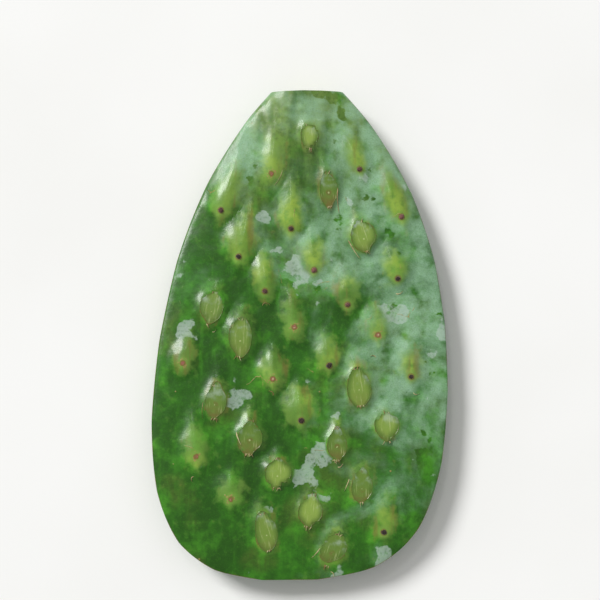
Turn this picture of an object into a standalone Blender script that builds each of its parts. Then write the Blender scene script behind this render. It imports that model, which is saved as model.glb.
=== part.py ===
"""Prickly pear cactus pad: one flattened stem joint, cut from its plant and peeled of its spines.

The pad lies on its flat side, on the shaved areoles of its underside.
+Y runs along the pad from its broad apex to the narrow cut base, +X across it and +Z up.
The origin is the centre of the footprint, at the height of the surface that the pad lies on.
Lengths are in millimetres until a mesh or a matrix is made, and metres from there.
"""

import math
import random
from dataclasses import dataclass

import bmesh
import bpy
import numpy as np
from mathutils import Matrix, Vector

MM = 0.001
TOP, UNDERSIDE = 1, -1

# Outline, seen from above. A station runs from -1 at the apex to 1, a little past the base cut.
LENGTH = 250.0
WIDTH = 148.0
CUT_STATION = 0.87
CUT_LEAN = 0.05
SWAY = 3.5
OUTLINE_TAPER = (0.976, -0.262, -0.299, -0.410)
OUTLINE_FULLNESS = (0.078, 0.110)
OUTLINE_WAVE = 1.0

# The margin was trimmed off in short straight knife strokes.
TRIM_STROKES = 23
TRIM_BITE = 0.25

# Thickness, without the tubercles.
MIDDLE_THICKNESS = 13.0
NECK_THICKNESS = 17.0
RIM_THICKNESS = 4.6
SHOULDER_POWER = 2.6
SHOULDER_ROOT = 0.55
RELIEF_POWER = 16

# The pad's warp, as lifts at the margin.
CUP_ACROSS = 2.4
CUP_APEX = 5.5
CUP_BASE = 4.0
TWIST = 2.2
RIPPLE = 0.9
LOWEST_STATION = -0.12

# The slow swells of the fleshy skin.
SWELL = (0.28, 0.16)
SWELL_SPAN = (17.0, 23.0, 11.0)

# Areoles follow the golden angle round the flattened stem. Each sits on a tubercle.
AREOLE_COUNT = 92
GOLDEN_TURN = 0.381966
FIRST_TURN = 0.02
CLEAR_OF_MARGIN = 10.0
CLEAR_OF_BASE = 13.0
SHAVED_SHARE = (0.62, 0.22)
WOOLLY_SHARE = 0.66
TUBERCLE_HALF_LENGTH = (6.8, 9.6)
TUBERCLE_HALF_WIDTH = (4.4, 6.0)
TUBERCLE_HEIGHT = (1.5, 2.6)
SMALLER_AT_APEX = 0.05
SMALLER_AT_BASE = 0.3
LONGER_ON_NECK = 0.6
JITTER = (1.6, 2.0)
TURN_JITTER = 0.14
FACET_TILT = 0.05
FACET_POINT = 0.30
CROWN = 0.75
WHOLE_RISE = 1.3
WHOLE_SPREAD = 0.95
WHOLE_TAIL = 0.06
SEED = 54

# The underside was shaved by one flat stroke, which left the facets that the pad rests on.
REST_RADIUS = 60.0
REST_HEIGHT = 2.0
REST_SHAVED_OFF = 1.35

# Each other facet is cut by an oval knife block of this size, against the facet's own.
KNIFE_LEVEL = 0.84
KNIFE_REACH = (1.16, 1.24)
KNIFE_DEPTH = 7.0
KNIFE_SIDES = 20

# Cushions of wool and bristle on the areoles that the knife missed.
CUSHION_RADIUS = 1.55
CUSHION_PROUD = 0.85
CUSHION_AHEAD = 0.5

# Divisions of the cube that becomes the pad, along X, Y and Z, and where its top faces end.
DIVISIONS = (26, 43, 17)
FACE_RADIUS = 0.62
SHARP_EDGE = math.radians(18.0)

SKIN_COLOUR = (0.085, 0.190, 0.040, 1.0)
SKIN_ROUGHNESS = 0.42

HALF_LENGTH = LENGTH / (1.0 + CUT_STATION)
HALF_WIDTH = WIDTH / 2.0
INVERSE_ROUNDS = 6


@dataclass
class Areole:
    """One areole on its tubercle: where it is, which way it points and how the peeling left it."""

    side: int
    x: float
    y: float
    heading: float
    half_length: float
    half_width: float
    height: float
    tilt: float
    point: float
    wobble: float
    state: str  # "shaved", "rested", "scraped" or "woolly"


def smooth_step(low, high, value):
    """0 below low, 1 above high and an even rise between them."""
    share = np.clip((value - low) / (high - low), 0.0, 1.0)
    return share * share * (3.0 - 2.0 * share)


def taper(station):
    """How much wider or narrower than an ellipse the pad is at a station."""
    level, first, second, third = OUTLINE_TAPER
    return level + station * (first + station * (second + station * third))


def fullness(disc_x, disc_y):
    """How far the outline's four shoulders stand out past an ellipse, as a share of the radius."""
    share = np.where(disc_y < 0.0, *OUTLINE_FULLNESS)
    return share * np.sin(2.0 * np.arctan2(disc_y, disc_x)) ** 2 * np.hypot(disc_x, disc_y) ** 2


def reach_across(station):
    """The outline's distance from the middle line, without its trimming strokes."""
    angle = np.linspace(-math.pi / 2.0, math.pi / 2.0, 361)
    across, along = np.cos(angle), np.sin(angle)
    full = 1.0 + fullness(across, along)
    return np.interp(station, along * full, HALF_WIDTH * across * taper(along) * full)


def middle_line(station):
    """Sideways sway of the pad's middle line."""
    return SWAY * np.sin(1.9 * station + 0.5)


def edge_shrink(disc_x, disc_y):
    """What the trimming strokes and the slow waves of the outline take off, as a share of the radius."""
    radius, angle = np.hypot(disc_x, disc_y), np.arctan2(disc_y, disc_x)
    stroke = np.abs(np.sin(0.5 * TRIM_STROKES * angle + 0.5 * np.sin(3.0 * angle) + 0.55))
    wave = 0.5 + 0.5 * np.sin(3.0 * angle + 1.2) * np.cos(angle - 0.6)
    return (TRIM_BITE * stroke * radius**6 + OUTLINE_WAVE * wave * radius**3) / HALF_WIDTH


def stretch(disc_x, disc_y):
    """How much further out than a plain disc's a point of the pad lies."""
    return 1.0 + fullness(disc_x, disc_y) - edge_shrink(disc_x, disc_y)


def planform(disc_x, disc_y):
    """Where a point of the unit disc lies on the pad, seen from above."""
    out = stretch(disc_x, disc_y)
    x = middle_line(disc_y) + HALF_WIDTH * disc_x * taper(disc_y) * out
    return x, HALF_LENGTH * disc_y * out


def disc_of(x, y):
    """The unit disc's point at a place on the pad."""
    disc_x, disc_y = x / HALF_WIDTH, y / HALF_LENGTH
    for _ in range(INVERSE_ROUNDS):
        out = stretch(disc_x, disc_y)
        disc_y = y / (HALF_LENGTH * out)
        disc_x = (x - middle_line(disc_y)) / (HALF_WIDTH * taper(disc_y) * out)
    return disc_x, disc_y


def margin_share(disc_x, disc_y):
    """0 on the middle line and 1 on the margin. Towards the base it is measured straight across."""
    across = np.abs(disc_x) / np.sqrt(np.clip(1.0 - disc_y**2, 1e-6, 1.0))
    return np.clip(np.where(disc_y < 0.0, np.hypot(disc_x, disc_y), across), 0.0, 1.0)


def margin_gap(disc_x, disc_y):
    """Distance in millimetres from the margin."""
    radius = np.maximum(np.hypot(disc_x, disc_y), 1e-6)
    to_apex = np.hypot(HALF_WIDTH * disc_x, HALF_LENGTH * disc_y) / radius
    reach = np.where(disc_y < 0.0, to_apex, reach_across(np.maximum(disc_y, 0.0)))
    return (1.0 - margin_share(disc_x, disc_y)) * reach


def relief_share(disc_x, disc_y):
    """How much of the tubercles and swells is there: all of it inside, fading out at the margin."""
    return 1.0 - margin_share(disc_x, disc_y) ** RELIEF_POWER


def half_thickness(disc_x, disc_y):
    """Half the pad's thickness, without its tubercles."""
    neck = smooth_step(0.25, CUT_STATION, disc_y)
    middle = (MIDDLE_THICKNESS + (NECK_THICKNESS - MIDDLE_THICKNESS) * neck) / 2.0
    rim = RIM_THICKNESS / 2.0 * (1.0 + 0.5 * neck)
    shoulder = (1.0 - margin_share(disc_x, disc_y) ** SHOULDER_POWER) ** SHOULDER_ROOT
    return rim + (middle - rim) * shoulder


def warp(x, y):
    """How far the pad's middle surface lifts from a flat sheet."""
    along = y / HALF_LENGTH - LOWEST_STATION
    across = (x - middle_line(y / HALF_LENGTH)) / HALF_WIDTH
    cup = np.where(along < 0.0, CUP_APEX, CUP_BASE) * along**2 + CUP_ACROSS * across**2
    ripple = RIPPLE * np.sin(3.1 * along + 2.4 * across) * (along**2 + across**2)
    return cup + TWIST * along * across + ripple


def swell(x, y, side):
    """The slow swells of the skin, under half a millimetre."""
    span_x, span_y, span_across = SWELL_SPAN
    broad = np.sin(x / span_x + 0.8 * side) * np.cos(y / span_y + 1.1 * side)
    return SWELL[0] * broad + SWELL[1] * np.sin((x + 0.7 * y) / span_across + side)


def smooth_skin(x, y, side):
    """Height of the skin without tubercles, at a place away from the margin."""
    return side * (half_thickness(*disc_of(x, y)) + swell(x, y, side)) + warp(x, y)


def skin_slope(x, y, side):
    """The smooth skin's rise along X and along Y."""
    step = 2.0
    rise_x = smooth_skin(x + step, y, side) - smooth_skin(x - step, y, side)
    rise_y = smooth_skin(x, y + step, side) - smooth_skin(x, y - step, side)
    return float(rise_x) / (2.0 * step), float(rise_y) / (2.0 * step)


def make_areole(side, x, y, heading, draw):
    """One areole with its own size, shape and state."""
    station = y / HALF_LENGTH
    size = 1.0 - SMALLER_AT_APEX * float(smooth_step(-0.6, -1.0, station))
    size *= 1.0 - SMALLER_AT_BASE * float(smooth_step(0.3, 0.8, station))
    state = "woolly" if draw.random() < WOOLLY_SHARE else "scraped"
    if draw.random() < float(np.interp(station, (-1.0, CUT_STATION), SHAVED_SHARE)):
        state = "shaved"
    longer, higher = 1.0, 1.0
    if state != "shaved":
        longer, higher = 1.0 + LONGER_ON_NECK * float(smooth_step(0.0, 0.6, station)), WHOLE_RISE
    areole = Areole(
        side=side,
        x=x + JITTER[0] * draw.uniform(-1.0, 1.0),
        y=y + JITTER[1] * draw.uniform(-1.0, 1.0),
        heading=heading + TURN_JITTER * draw.uniform(-1.0, 1.0),
        half_length=longer * size * draw.uniform(*TUBERCLE_HALF_LENGTH),
        half_width=size * draw.uniform(*TUBERCLE_HALF_WIDTH),
        height=higher * draw.uniform(*TUBERCLE_HEIGHT),
        tilt=FACET_TILT * draw.uniform(-1.0, 1.0),
        point=FACET_POINT * draw.random(),
        wobble=draw.uniform(0.0, 2.0 * math.pi),
        state=state,
    )
    if side == UNDERSIDE and math.hypot(x, y - LOWEST_STATION * HALF_LENGTH) < REST_RADIUS:
        areole.state, areole.height = "rested", REST_HEIGHT
    return areole


def clear_of_edges(areole):
    """Whether a tubercle stands clear of the trimmed margin and of the base cut."""
    gap = float(margin_gap(*disc_of(areole.x, areole.y)))
    return gap > CLEAR_OF_MARGIN and areole.y < CUT_STATION * HALF_LENGTH - CLEAR_OF_BASE


def lay_out_areoles():
    """Areoles at equal steps of skin area up the stem, each a golden turn round from the last."""
    draw = random.Random(SEED)
    stations = np.linspace(-1.0, CUT_STATION, 801)
    skin = np.cumsum(reach_across(stations))
    areoles = []
    for number in range(AREOLE_COUNT):
        station = float(np.interp((number + 0.5) / AREOLE_COUNT * skin[-1], skin, stations))
        turn = (FIRST_TURN + number * GOLDEN_TURN) % 1.0
        across = 1.0 - 4.0 * (turn % 0.5)
        reach = float(reach_across(station))
        spread = (float(reach_across(station + 0.02)) - reach) / (0.02 * HALF_LENGTH)
        heading = math.atan2(-1.0, -across * spread)
        side = TOP if turn < 0.5 else UNDERSIDE
        x = float(middle_line(station)) + across * reach
        areoles.append(make_areole(side, x, station * HALF_LENGTH, heading, draw))
    return [areole for areole in areoles if clear_of_edges(areole)]


def oval_place(areole, x, y):
    """A place as its oval radius round an areole, 1 on the tubercle's shaved edge, and its angle there."""
    ahead_x, ahead_y = math.cos(areole.heading), math.sin(areole.heading)
    along = ((x - areole.x) * ahead_x + (y - areole.y) * ahead_y) / areole.half_length
    across = ((y - areole.y) * ahead_x - (x - areole.x) * ahead_y) / areole.half_width
    angle = np.arctan2(across, along)
    pointed = areole.point * np.sin(2.0 * angle) ** 2 * np.cos(angle) ** 2
    uneven = 0.05 * np.sin(2.0 * angle + areole.wobble) + 0.04 * np.sin(3.0 * angle - areole.wobble)
    return np.hypot(along, across) / (1.0 - pointed + uneven), angle


def tubercle(areole, x, y):
    """Height of one whole tubercle: short and steep past the areole, long and low behind it."""
    oval, angle = oval_place(areole, x, y)
    skirt = 1.05 - 0.45 * np.cos(angle)
    if areole.state in ("shaved", "rested"):
        crown = 1.0 + CROWN * (1.0 - oval)
        falling = np.clip(1.0 - (oval - 1.0) / skirt, 0.0, 1.0) ** 2
        return areole.height * np.where(oval < 1.0, crown, falling)
    reach = 1.0 + WHOLE_SPREAD * (skirt + WHOLE_TAIL * (1.0 - np.cos(angle)) ** 2)
    return areole.height * np.clip(1.0 - (oval / reach) ** 2, 0.0, 1.0) ** 2


def relief(areoles, x, y):
    """Height of the highest tubercle at each place, above the smooth skin."""
    return np.max([tubercle(areole, x, y) for areole in areoles], axis=0)


def cube_to_disc(cube):
    """Spreads a cube's faces over a disc: its top and bottom become the middle, its sides the shoulders."""
    flat_x, flat_y, level = cube.T
    down = (1.0 - np.abs(level)) / (1.0 - 1.0 / DIVISIONS[2])
    radius = FACE_RADIUS + (1.0 - FACE_RADIUS) * down * (1.3 - 0.3 * down)
    round_x = flat_x * np.sqrt(1.0 - flat_y**2 / 2.0)
    round_y = flat_y * np.sqrt(1.0 - flat_x**2 / 2.0)
    return round_x * radius, round_y * radius, np.sign(level)


def shape_skin(cube, areoles):
    """Every point of the cube's mesh, moved to its place on the pad."""
    disc_x, disc_y, side = cube_to_disc(cube)
    x, y = planform(disc_x, disc_y)
    height = half_thickness(disc_x, disc_y)
    inward = relief_share(disc_x, disc_y)
    for face in (TOP, UNDERSIDE):
        here = side == face
        own = [areole for areole in areoles if areole.side == face]
        height[here] += inward[here] * (swell(x[here], y[here], face) + relief(own, x[here], y[here]))
    return np.column_stack([x, y, side * height + warp(x, y)])


def divided_cube():
    """A cube two units across, whose edges along each axis are cut into DIVISIONS."""
    mesh = bmesh.new()
    bmesh.ops.create_cube(mesh, size=2.0)
    for axis, parts in enumerate(DIVISIONS):
        edges = [e for e in mesh.edges if abs(e.verts[0].co[axis] - e.verts[1].co[axis]) > 0.5]
        bmesh.ops.subdivide_edges(mesh, edges=edges, cuts=parts - 1, use_grid_fill=True)
    return mesh


def slice_off(mesh, point, normal):
    """Cuts away all that lies past a plane and closes the mesh with a flat face."""
    everything = list(mesh.verts) + list(mesh.edges) + list(mesh.faces)
    bmesh.ops.bisect_plane(
        mesh, geom=everything, dist=1e-7, plane_co=point, plane_no=normal, clear_outer=True
    )
    rim = [edge for edge in mesh.edges if edge.is_boundary]
    bmesh.ops.edgeloop_fill(mesh, edges=rim)


def facet_frame(areole):
    """The knife's place on a tubercle: X ahead, Z out of the pad, its origin on the facet to be cut."""
    slope = Vector(skin_slope(areole.x, areole.y, areole.side))
    ahead = Vector((math.cos(areole.heading), math.sin(areole.heading)))
    forward = Vector((ahead.x, ahead.y, slope.dot(ahead) + areole.side * areole.tilt)).normalized()
    outward = Vector((-slope.x, -slope.y, 1.0)) * areole.side
    sideways = outward.cross(forward).normalized()
    outward = forward.cross(sideways)
    cut = areole.side * areole.height * KNIFE_LEVEL * float(relief_share(*disc_of(areole.x, areole.y)))
    z = float(smooth_skin(areole.x, areole.y, areole.side)) + cut
    frame = Matrix((forward, sideways, outward)).transposed().to_4x4()
    frame.translation = Vector((areole.x, areole.y, z)) * MM
    return frame


def add_knife(areole, cutters):
    """A flat-bottomed oval block that takes the crown off one tubercle."""
    mesh = bmesh.new()
    bmesh.ops.create_cone(mesh, cap_ends=True, segments=KNIFE_SIDES, radius1=1.0, radius2=1.0, depth=1.0)
    bmesh.ops.translate(mesh, verts=mesh.verts, vec=(0.0, 0.0, 0.5))
    size = (KNIFE_REACH[0] * areole.half_length, KNIFE_REACH[1] * areole.half_width, KNIFE_DEPTH)
    bmesh.ops.scale(mesh, verts=mesh.verts, vec=Vector(size) * MM)
    bmesh.ops.transform(mesh, verts=mesh.verts, matrix=facet_frame(areole))
    return add_object(mesh, "knife", cutters)


def add_cushion(areole, cushions):
    """A low dome on the areole, at the tubercle's far end."""
    ahead = CUSHION_AHEAD * areole.half_length
    x = areole.x + ahead * math.cos(areole.heading)
    y = areole.y + ahead * math.sin(areole.heading)
    skin = float(smooth_skin(x, y, areole.side)) + areole.side * float(tubercle(areole, x, y))
    z = skin + areole.side * (CUSHION_PROUD - CUSHION_RADIUS)
    mesh = bmesh.new()
    bmesh.ops.create_icosphere(mesh, subdivisions=2, radius=CUSHION_RADIUS * MM)
    bmesh.ops.translate(mesh, verts=mesh.verts, vec=Vector((x, y, z)) * MM)
    return add_object(mesh, "cushion", cushions)


def add_object(mesh, name, collection):
    """Turns a bmesh into an object of a collection."""
    data = bpy.data.meshes.new(name)
    mesh.to_mesh(data)
    mesh.free()
    made = bpy.data.objects.new(name, data)
    collection.objects.link(made)
    return made


def apply_boolean(target, operation, collection):
    """Joins or cuts an object with all of a collection, then removes that collection's objects."""
    step = target.modifiers.new(operation.lower(), "BOOLEAN")
    step.operation = operation
    step.operand_type = "COLLECTION"
    step.collection = collection
    step.solver = "EXACT"
    bpy.context.view_layer.update()
    result = bpy.data.meshes.new_from_object(target.evaluated_get(bpy.context.evaluated_depsgraph_get()))
    target.modifiers.clear()
    target.data = result
    for tool in list(collection.objects):
        bpy.data.objects.remove(tool)
    bpy.data.collections.remove(collection)


def new_collection(name):
    collection = bpy.data.collections.new(name)
    bpy.context.scene.collection.children.link(collection)
    return collection


def skin_material():
    """Waxy green skin, slightly glossy."""
    skin = bpy.data.materials.new("waxy_green_skin")
    skin.use_nodes = True
    shader = skin.node_tree.nodes["Principled BSDF"]
    shader.inputs["Base Color"].default_value = SKIN_COLOUR
    shader.inputs["Roughness"].default_value = SKIN_ROUGHNESS
    shader.inputs["Metallic"].default_value = 0.0
    return skin


def build_pad(areoles, collection):
    """The pad: the shaped skin, its shaved facets, its woolly areoles and its two flat cuts."""
    mesh = divided_cube()
    skin = shape_skin(np.array([vert.co for vert in mesh.verts]), areoles)
    floor = float(skin[:, 2].min()) + REST_SHAVED_OFF
    for vert, place in zip(mesh.verts, skin * MM):
        vert.co = place
    pad = add_object(mesh, "pad", collection)

    knives, cushions = new_collection("knives"), new_collection("cushions")
    for areole in areoles:
        if areole.state == "shaved":
            add_knife(areole, knives)
        elif areole.state == "woolly":
            add_cushion(areole, cushions)
    apply_boolean(pad, "DIFFERENCE", knives)
    apply_boolean(pad, "UNION", cushions)

    mesh = bmesh.new()
    mesh.from_mesh(pad.data)
    slice_off(mesh, (0.0, CUT_STATION * HALF_LENGTH * MM, 0.0), (0.0, 1.0, CUT_LEAN))
    slice_off(mesh, (0.0, 0.0, floor * MM), (0.0, 0.0, -1.0))
    low = Vector([min(vert.co[axis] for vert in mesh.verts) for axis in range(3)])
    high = Vector([max(vert.co[axis] for vert in mesh.verts) for axis in range(3)])
    middle = (low + high) / 2.0
    bmesh.ops.translate(mesh, verts=mesh.verts, vec=(-middle.x, -middle.y, -floor * MM))
    bmesh.ops.recalc_face_normals(mesh, faces=mesh.faces)
    mesh.to_mesh(pad.data)
    mesh.free()
    pad.data.materials.clear()
    pad.data.materials.append(skin_material())
    pad.data.shade_smooth()
    pad.data.set_sharp_from_angle(angle=SHARP_EDGE)


def main():
    for old in list(bpy.data.objects):
        bpy.data.objects.remove(old)
    build_pad(lay_out_areoles(), new_collection("prickly_pear_pad"))


main()
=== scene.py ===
"""Looks of a whole peeled prickly pear pad, lying on its flat side on a pale studio floor.

The pad's form repeats the solid's own formulas at a finer mesh, so that the two lie together.
Formulas work in millimetres, with +Y from the broad apex to the cut base. Meshes are in metres.
"""

import math
import random
from dataclasses import dataclass

import bmesh
import bpy
import numpy as np
from bpy.props import FloatProperty, FloatVectorProperty, IntProperty, PointerProperty
from mathutils import Matrix, Vector, noise
from mathutils.bvhtree import BVHTree


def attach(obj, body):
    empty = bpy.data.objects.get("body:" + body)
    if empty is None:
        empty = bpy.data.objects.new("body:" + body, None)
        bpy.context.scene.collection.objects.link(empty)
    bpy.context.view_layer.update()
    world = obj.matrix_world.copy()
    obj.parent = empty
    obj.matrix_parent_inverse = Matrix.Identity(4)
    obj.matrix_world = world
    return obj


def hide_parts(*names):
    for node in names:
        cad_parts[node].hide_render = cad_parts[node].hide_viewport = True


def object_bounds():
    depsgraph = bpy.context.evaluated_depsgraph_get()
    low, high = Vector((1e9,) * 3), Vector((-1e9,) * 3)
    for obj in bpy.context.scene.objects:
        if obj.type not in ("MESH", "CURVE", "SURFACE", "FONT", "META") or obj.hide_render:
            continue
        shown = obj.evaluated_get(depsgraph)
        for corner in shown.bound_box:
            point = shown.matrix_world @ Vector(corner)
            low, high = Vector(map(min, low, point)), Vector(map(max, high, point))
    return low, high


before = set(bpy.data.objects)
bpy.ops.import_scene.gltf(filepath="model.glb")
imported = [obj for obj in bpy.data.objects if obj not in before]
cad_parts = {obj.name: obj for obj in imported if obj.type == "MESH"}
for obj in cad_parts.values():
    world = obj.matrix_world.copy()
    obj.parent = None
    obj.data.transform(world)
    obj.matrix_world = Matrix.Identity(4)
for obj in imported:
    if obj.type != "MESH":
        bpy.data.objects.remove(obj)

bl_info = {
    "name": "Prickly Pear Pad",
    "version": (1, 0, 0),
    "blender": (4, 5, 0),
    "location": "View3D > Sidebar > Pad",
    "description": "Models a peeled prickly pear pad with its areoles, scars and studio",
    "category": "Add Mesh",
}

CAD_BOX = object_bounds()
SKIN, TUFTS, SHREDS = "pad_skin", "areole_tufts", "peel_shreds"

MM = 0.001
TOP, UNDERSIDE = 1, -1

# Outline. A station runs from -1 at the apex to 1, a little past the base cut.
LENGTH = 250.0
WIDTH = 148.0
CUT_STATION = 0.87
CUT_LEAN = 0.05
HALF_LENGTH = LENGTH / (1.0 + CUT_STATION)
HALF_WIDTH = WIDTH / 2.0
SWAY = 3.5
OUTLINE_TAPER = (0.976, -0.262, -0.299, -0.410)
OUTLINE_FULLNESS = (0.078, 0.110)
OUTLINE_WAVE = 1.0
OUTLINE_SAMPLES = 361
TRIM_STROKES = 23
TRIM_BITE = 0.25
INVERSE_ROUNDS = 6

# Thickness, the warp of the whole pad and the slow swells of its skin.
MIDDLE_THICKNESS = 13.0
NECK_THICKNESS = 17.0
NECK_START = 0.25
RIM_THICKNESS = 4.6
SHOULDER_POWER = 2.6
SHOULDER_ROOT = 0.55
RELIEF_POWER = 16
CUP_ACROSS = 2.4
CUP_APEX = 5.5
CUP_BASE = 4.0
TWIST = 2.2
RIPPLE = 0.9
LOWEST_STATION = -0.12
SWELL = (0.28, 0.16)
SWELL_SPAN = (17.0, 23.0, 11.0)

# Areoles, a golden turn round the stem from one to the next, and the share of them in each state.
SEED = 54
AREOLE_COUNT = 92
STEM_SAMPLES = 801
GOLDEN_TURN = 0.381966
FIRST_TURN = 0.02
JITTER = (1.6, 2.0)
TURN_JITTER = 0.14
CLEAR_OF_MARGIN = 10.0
CLEAR_OF_BASE = 13.0
SHAVED_SHARE = (0.62, 0.22)
WOOLLY_SHARE = 0.66

# The tubercle under each areole. A whole one is higher and spreads further than one that was shaved.
TUBERCLE_HALF_LENGTH = (6.8, 9.6)
TUBERCLE_HALF_WIDTH = (4.4, 6.0)
TUBERCLE_HEIGHT = (1.5, 2.6)
SMALLER_AT_APEX = 0.05
SMALLER_AT_BASE = 0.3
LONGER_ON_NECK = 0.6
UNEVEN = (0.05, 0.04)
SKIRT = (1.05, 0.45)
CROWN = 0.75
WHOLE_RISE = 1.3
WHOLE_SPREAD = 0.95
WHOLE_TAIL = 0.06
CUSHION_AHEAD = 0.5

# The knife's flat facets, and the tubercles of the underside that one level stroke left it resting on.
FACET_TILT = 0.05
FACET_POINT = 0.30
KNIFE_LEVEL = 0.84
KNIFE_REACH = 1.2
REST_RADIUS = 60.0
REST_HEIGHT = 2.0

# Mesh: divisions of the starting cube, where its top faces end and rows in the trimmed band. Then how
# near a scar's edge a point is slid onto it, the step that slopes are taken over, and what is far off.
DIVISIONS = (118, 190, 61)
FACE_RADIUS = 0.62
BAND_ROWS = 5
SNAP = 0.40
SLOPE_STEP = 0.25
FAR = 12.0

# Fine unevenness of the skin, which differs from side to side, and the steps in which the base cut
# dishes: how far in, and how deep.
SIDE_SHIFT = 40.0
DIMPLE_SIZE = 7.0
DIMPLE_DEPTH = 0.16
FURROW_START = 0.30
FURROW_SPACING = 8.5
FURROW_DEPTH = 0.16
FURROW_BEND = 2.5
FURROW_BEND_SPAN = 30.0
BASE_STEPS = ((0.15, 0.08), (0.5, 0.0), (0.8, -0.12), (1.0, -0.18))

# Where an areole's own point lies on its tubercle, as a share of its half length.
MARK_AHEAD = {"shaved": 0.15, "rested": 0.15, "scraped": 0.2, "woolly": CUSHION_AHEAD}
# The states that a knife cut flat, what the skin's material reads for each state, and the step in
# tone from one areole to the next.
CUT_FLAT = ("shaved", "rested")
STATE = {"shaved": 0.0, "rested": 0.0, "scraped": 0.5, "woolly": 1.0}
TONE_STEP = 0.677

# Layers of the skin's mesh, and the value that each of their axes holds. Lengths are in millimetres.
SKIN_LAYERS = {
    "scar": ("edge", "along", "across"),
    "areole": ("areole", "tone", "state"),
    "form": ("mound", "rim", "base"),
}
SHARP_EDGE = math.radians(14.0)
CORK_ROUGHNESS = 0.8

# The side of the pad that keeps most of its bloom.
BLOOM_SIDE = (0.86, 0.50, 0.0)

# Felt and bristles: how lumpy the felt is and how its cushions differ in width. Then a bristle's radius
# at its root and its tip, and how bristles differ in length, in lean and in where they are rooted.
FELT_LUMPS = 0.30
FELT_WIDTHS = (0.85, 1.1)
BRISTLE_RADII = (0.05, 0.008)
BRISTLE_LENGTHS = (0.5, 1.0)
BRISTLE_LEAN = (0.1, 1.15)
BRISTLE_ROOTS = (0.0, 0.35)

# How far off the skin the search for a piece's seat starts.
SEARCH_HEIGHT = 60.0

# Strips of peel.
RIBBON_STEPS = 10
RIBBON_THICKNESS = 0.16
RIBBON_CLEARANCE = 0.06
PEEL_LENGTH = (6.0, 13.0)

# Where the camera aims, off the middle of the pad.
VIEW_SHIFT = (0.0, 0.016, 0.0)

# Where the main light shines from, and the small overhead light that gives the wax its glints.
KEY_PLACE = (-0.62, 0.50, 0.66)
GLINT_PLACE = (-0.22, 0.50, 1.15)
GLINT_SIZE = 0.15


@dataclass
class Areole:
    """One areole on its tubercle: where it is, which way it points and how the peeling left it."""

    side: int
    x: float
    y: float
    heading: float
    half_length: float
    half_width: float
    height: float
    tilt: float
    point: float
    wobble: float
    state: str  # "shaved", "rested", "scraped" or "woolly"
    cut_level: float = 0.0
    cut_rise: tuple = (0.0, 0.0)


def smooth_step(low, high, value):
    """0 below low, 1 above high and an even rise between them."""
    share = np.clip((value - low) / (high - low), 0.0, 1.0)
    return share * share * (3.0 - 2.0 * share)


def taper(station):
    """How much wider or narrower than an ellipse the pad is at a station."""
    level, first, second, third = OUTLINE_TAPER
    return level + station * (first + station * (second + station * third))


def fullness(disc_x, disc_y):
    """How far the outline's four shoulders stand out past an ellipse, as a share of the radius."""
    share = np.where(disc_y < 0.0, *OUTLINE_FULLNESS)
    return share * np.sin(2.0 * np.arctan2(disc_y, disc_x)) ** 2 * np.hypot(disc_x, disc_y) ** 2


def reach_across(station):
    """The outline's distance from the middle line, without its trimming strokes."""
    angle = np.linspace(-math.pi / 2.0, math.pi / 2.0, OUTLINE_SAMPLES)
    across, along = np.cos(angle), np.sin(angle)
    full = 1.0 + fullness(across, along)
    return np.interp(station, along * full, HALF_WIDTH * across * taper(along) * full)


def middle_line(station):
    """Sideways sway of the pad's middle line."""
    return SWAY * np.sin(1.9 * station + 0.5)


def edge_shrink(disc_x, disc_y):
    """What the trimming strokes and the slow waves of the outline take off, as a share of the radius."""
    radius, angle = np.hypot(disc_x, disc_y), np.arctan2(disc_y, disc_x)
    stroke = np.abs(np.sin(0.5 * TRIM_STROKES * angle + 0.5 * np.sin(3.0 * angle) + 0.55))
    wave = 0.5 + 0.5 * np.sin(3.0 * angle + 1.2) * np.cos(angle - 0.6)
    return (TRIM_BITE * stroke * radius**6 + OUTLINE_WAVE * wave * radius**3) / HALF_WIDTH


def stretch(disc_x, disc_y):
    """How much further out than a plain disc's a point of the pad lies."""
    return 1.0 + fullness(disc_x, disc_y) - edge_shrink(disc_x, disc_y)


def planform(disc_x, disc_y):
    """Where a point of the unit disc lies on the pad, seen from above."""
    out = stretch(disc_x, disc_y)
    x = middle_line(disc_y) + HALF_WIDTH * disc_x * taper(disc_y) * out
    return x, HALF_LENGTH * disc_y * out


def disc_of(x, y):
    """The unit disc's point at a place on the pad."""
    disc_x, disc_y = x / HALF_WIDTH, y / HALF_LENGTH
    for _ in range(INVERSE_ROUNDS):
        out = stretch(disc_x, disc_y)
        disc_y = y / (HALF_LENGTH * out)
        disc_x = (x - middle_line(disc_y)) / (HALF_WIDTH * taper(disc_y) * out)
    return disc_x, disc_y


def margin_share(disc_x, disc_y):
    """0 on the middle line and 1 on the margin. Towards the base it is measured straight across."""
    across = np.abs(disc_x) / np.sqrt(np.clip(1.0 - disc_y**2, 1e-6, 1.0))
    return np.clip(np.where(disc_y < 0.0, np.hypot(disc_x, disc_y), across), 0.0, 1.0)


def margin_gap(disc_x, disc_y):
    """Distance in millimetres from the margin."""
    radius = np.maximum(np.hypot(disc_x, disc_y), 1e-6)
    to_apex = np.hypot(HALF_WIDTH * disc_x, HALF_LENGTH * disc_y) / radius
    reach = np.where(disc_y < 0.0, to_apex, reach_across(np.maximum(disc_y, 0.0)))
    return (1.0 - margin_share(disc_x, disc_y)) * reach


def relief_share(disc_x, disc_y):
    """How much of the tubercles and swells is there: all of it inside, fading out at the margin."""
    return 1.0 - margin_share(disc_x, disc_y) ** RELIEF_POWER


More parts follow.
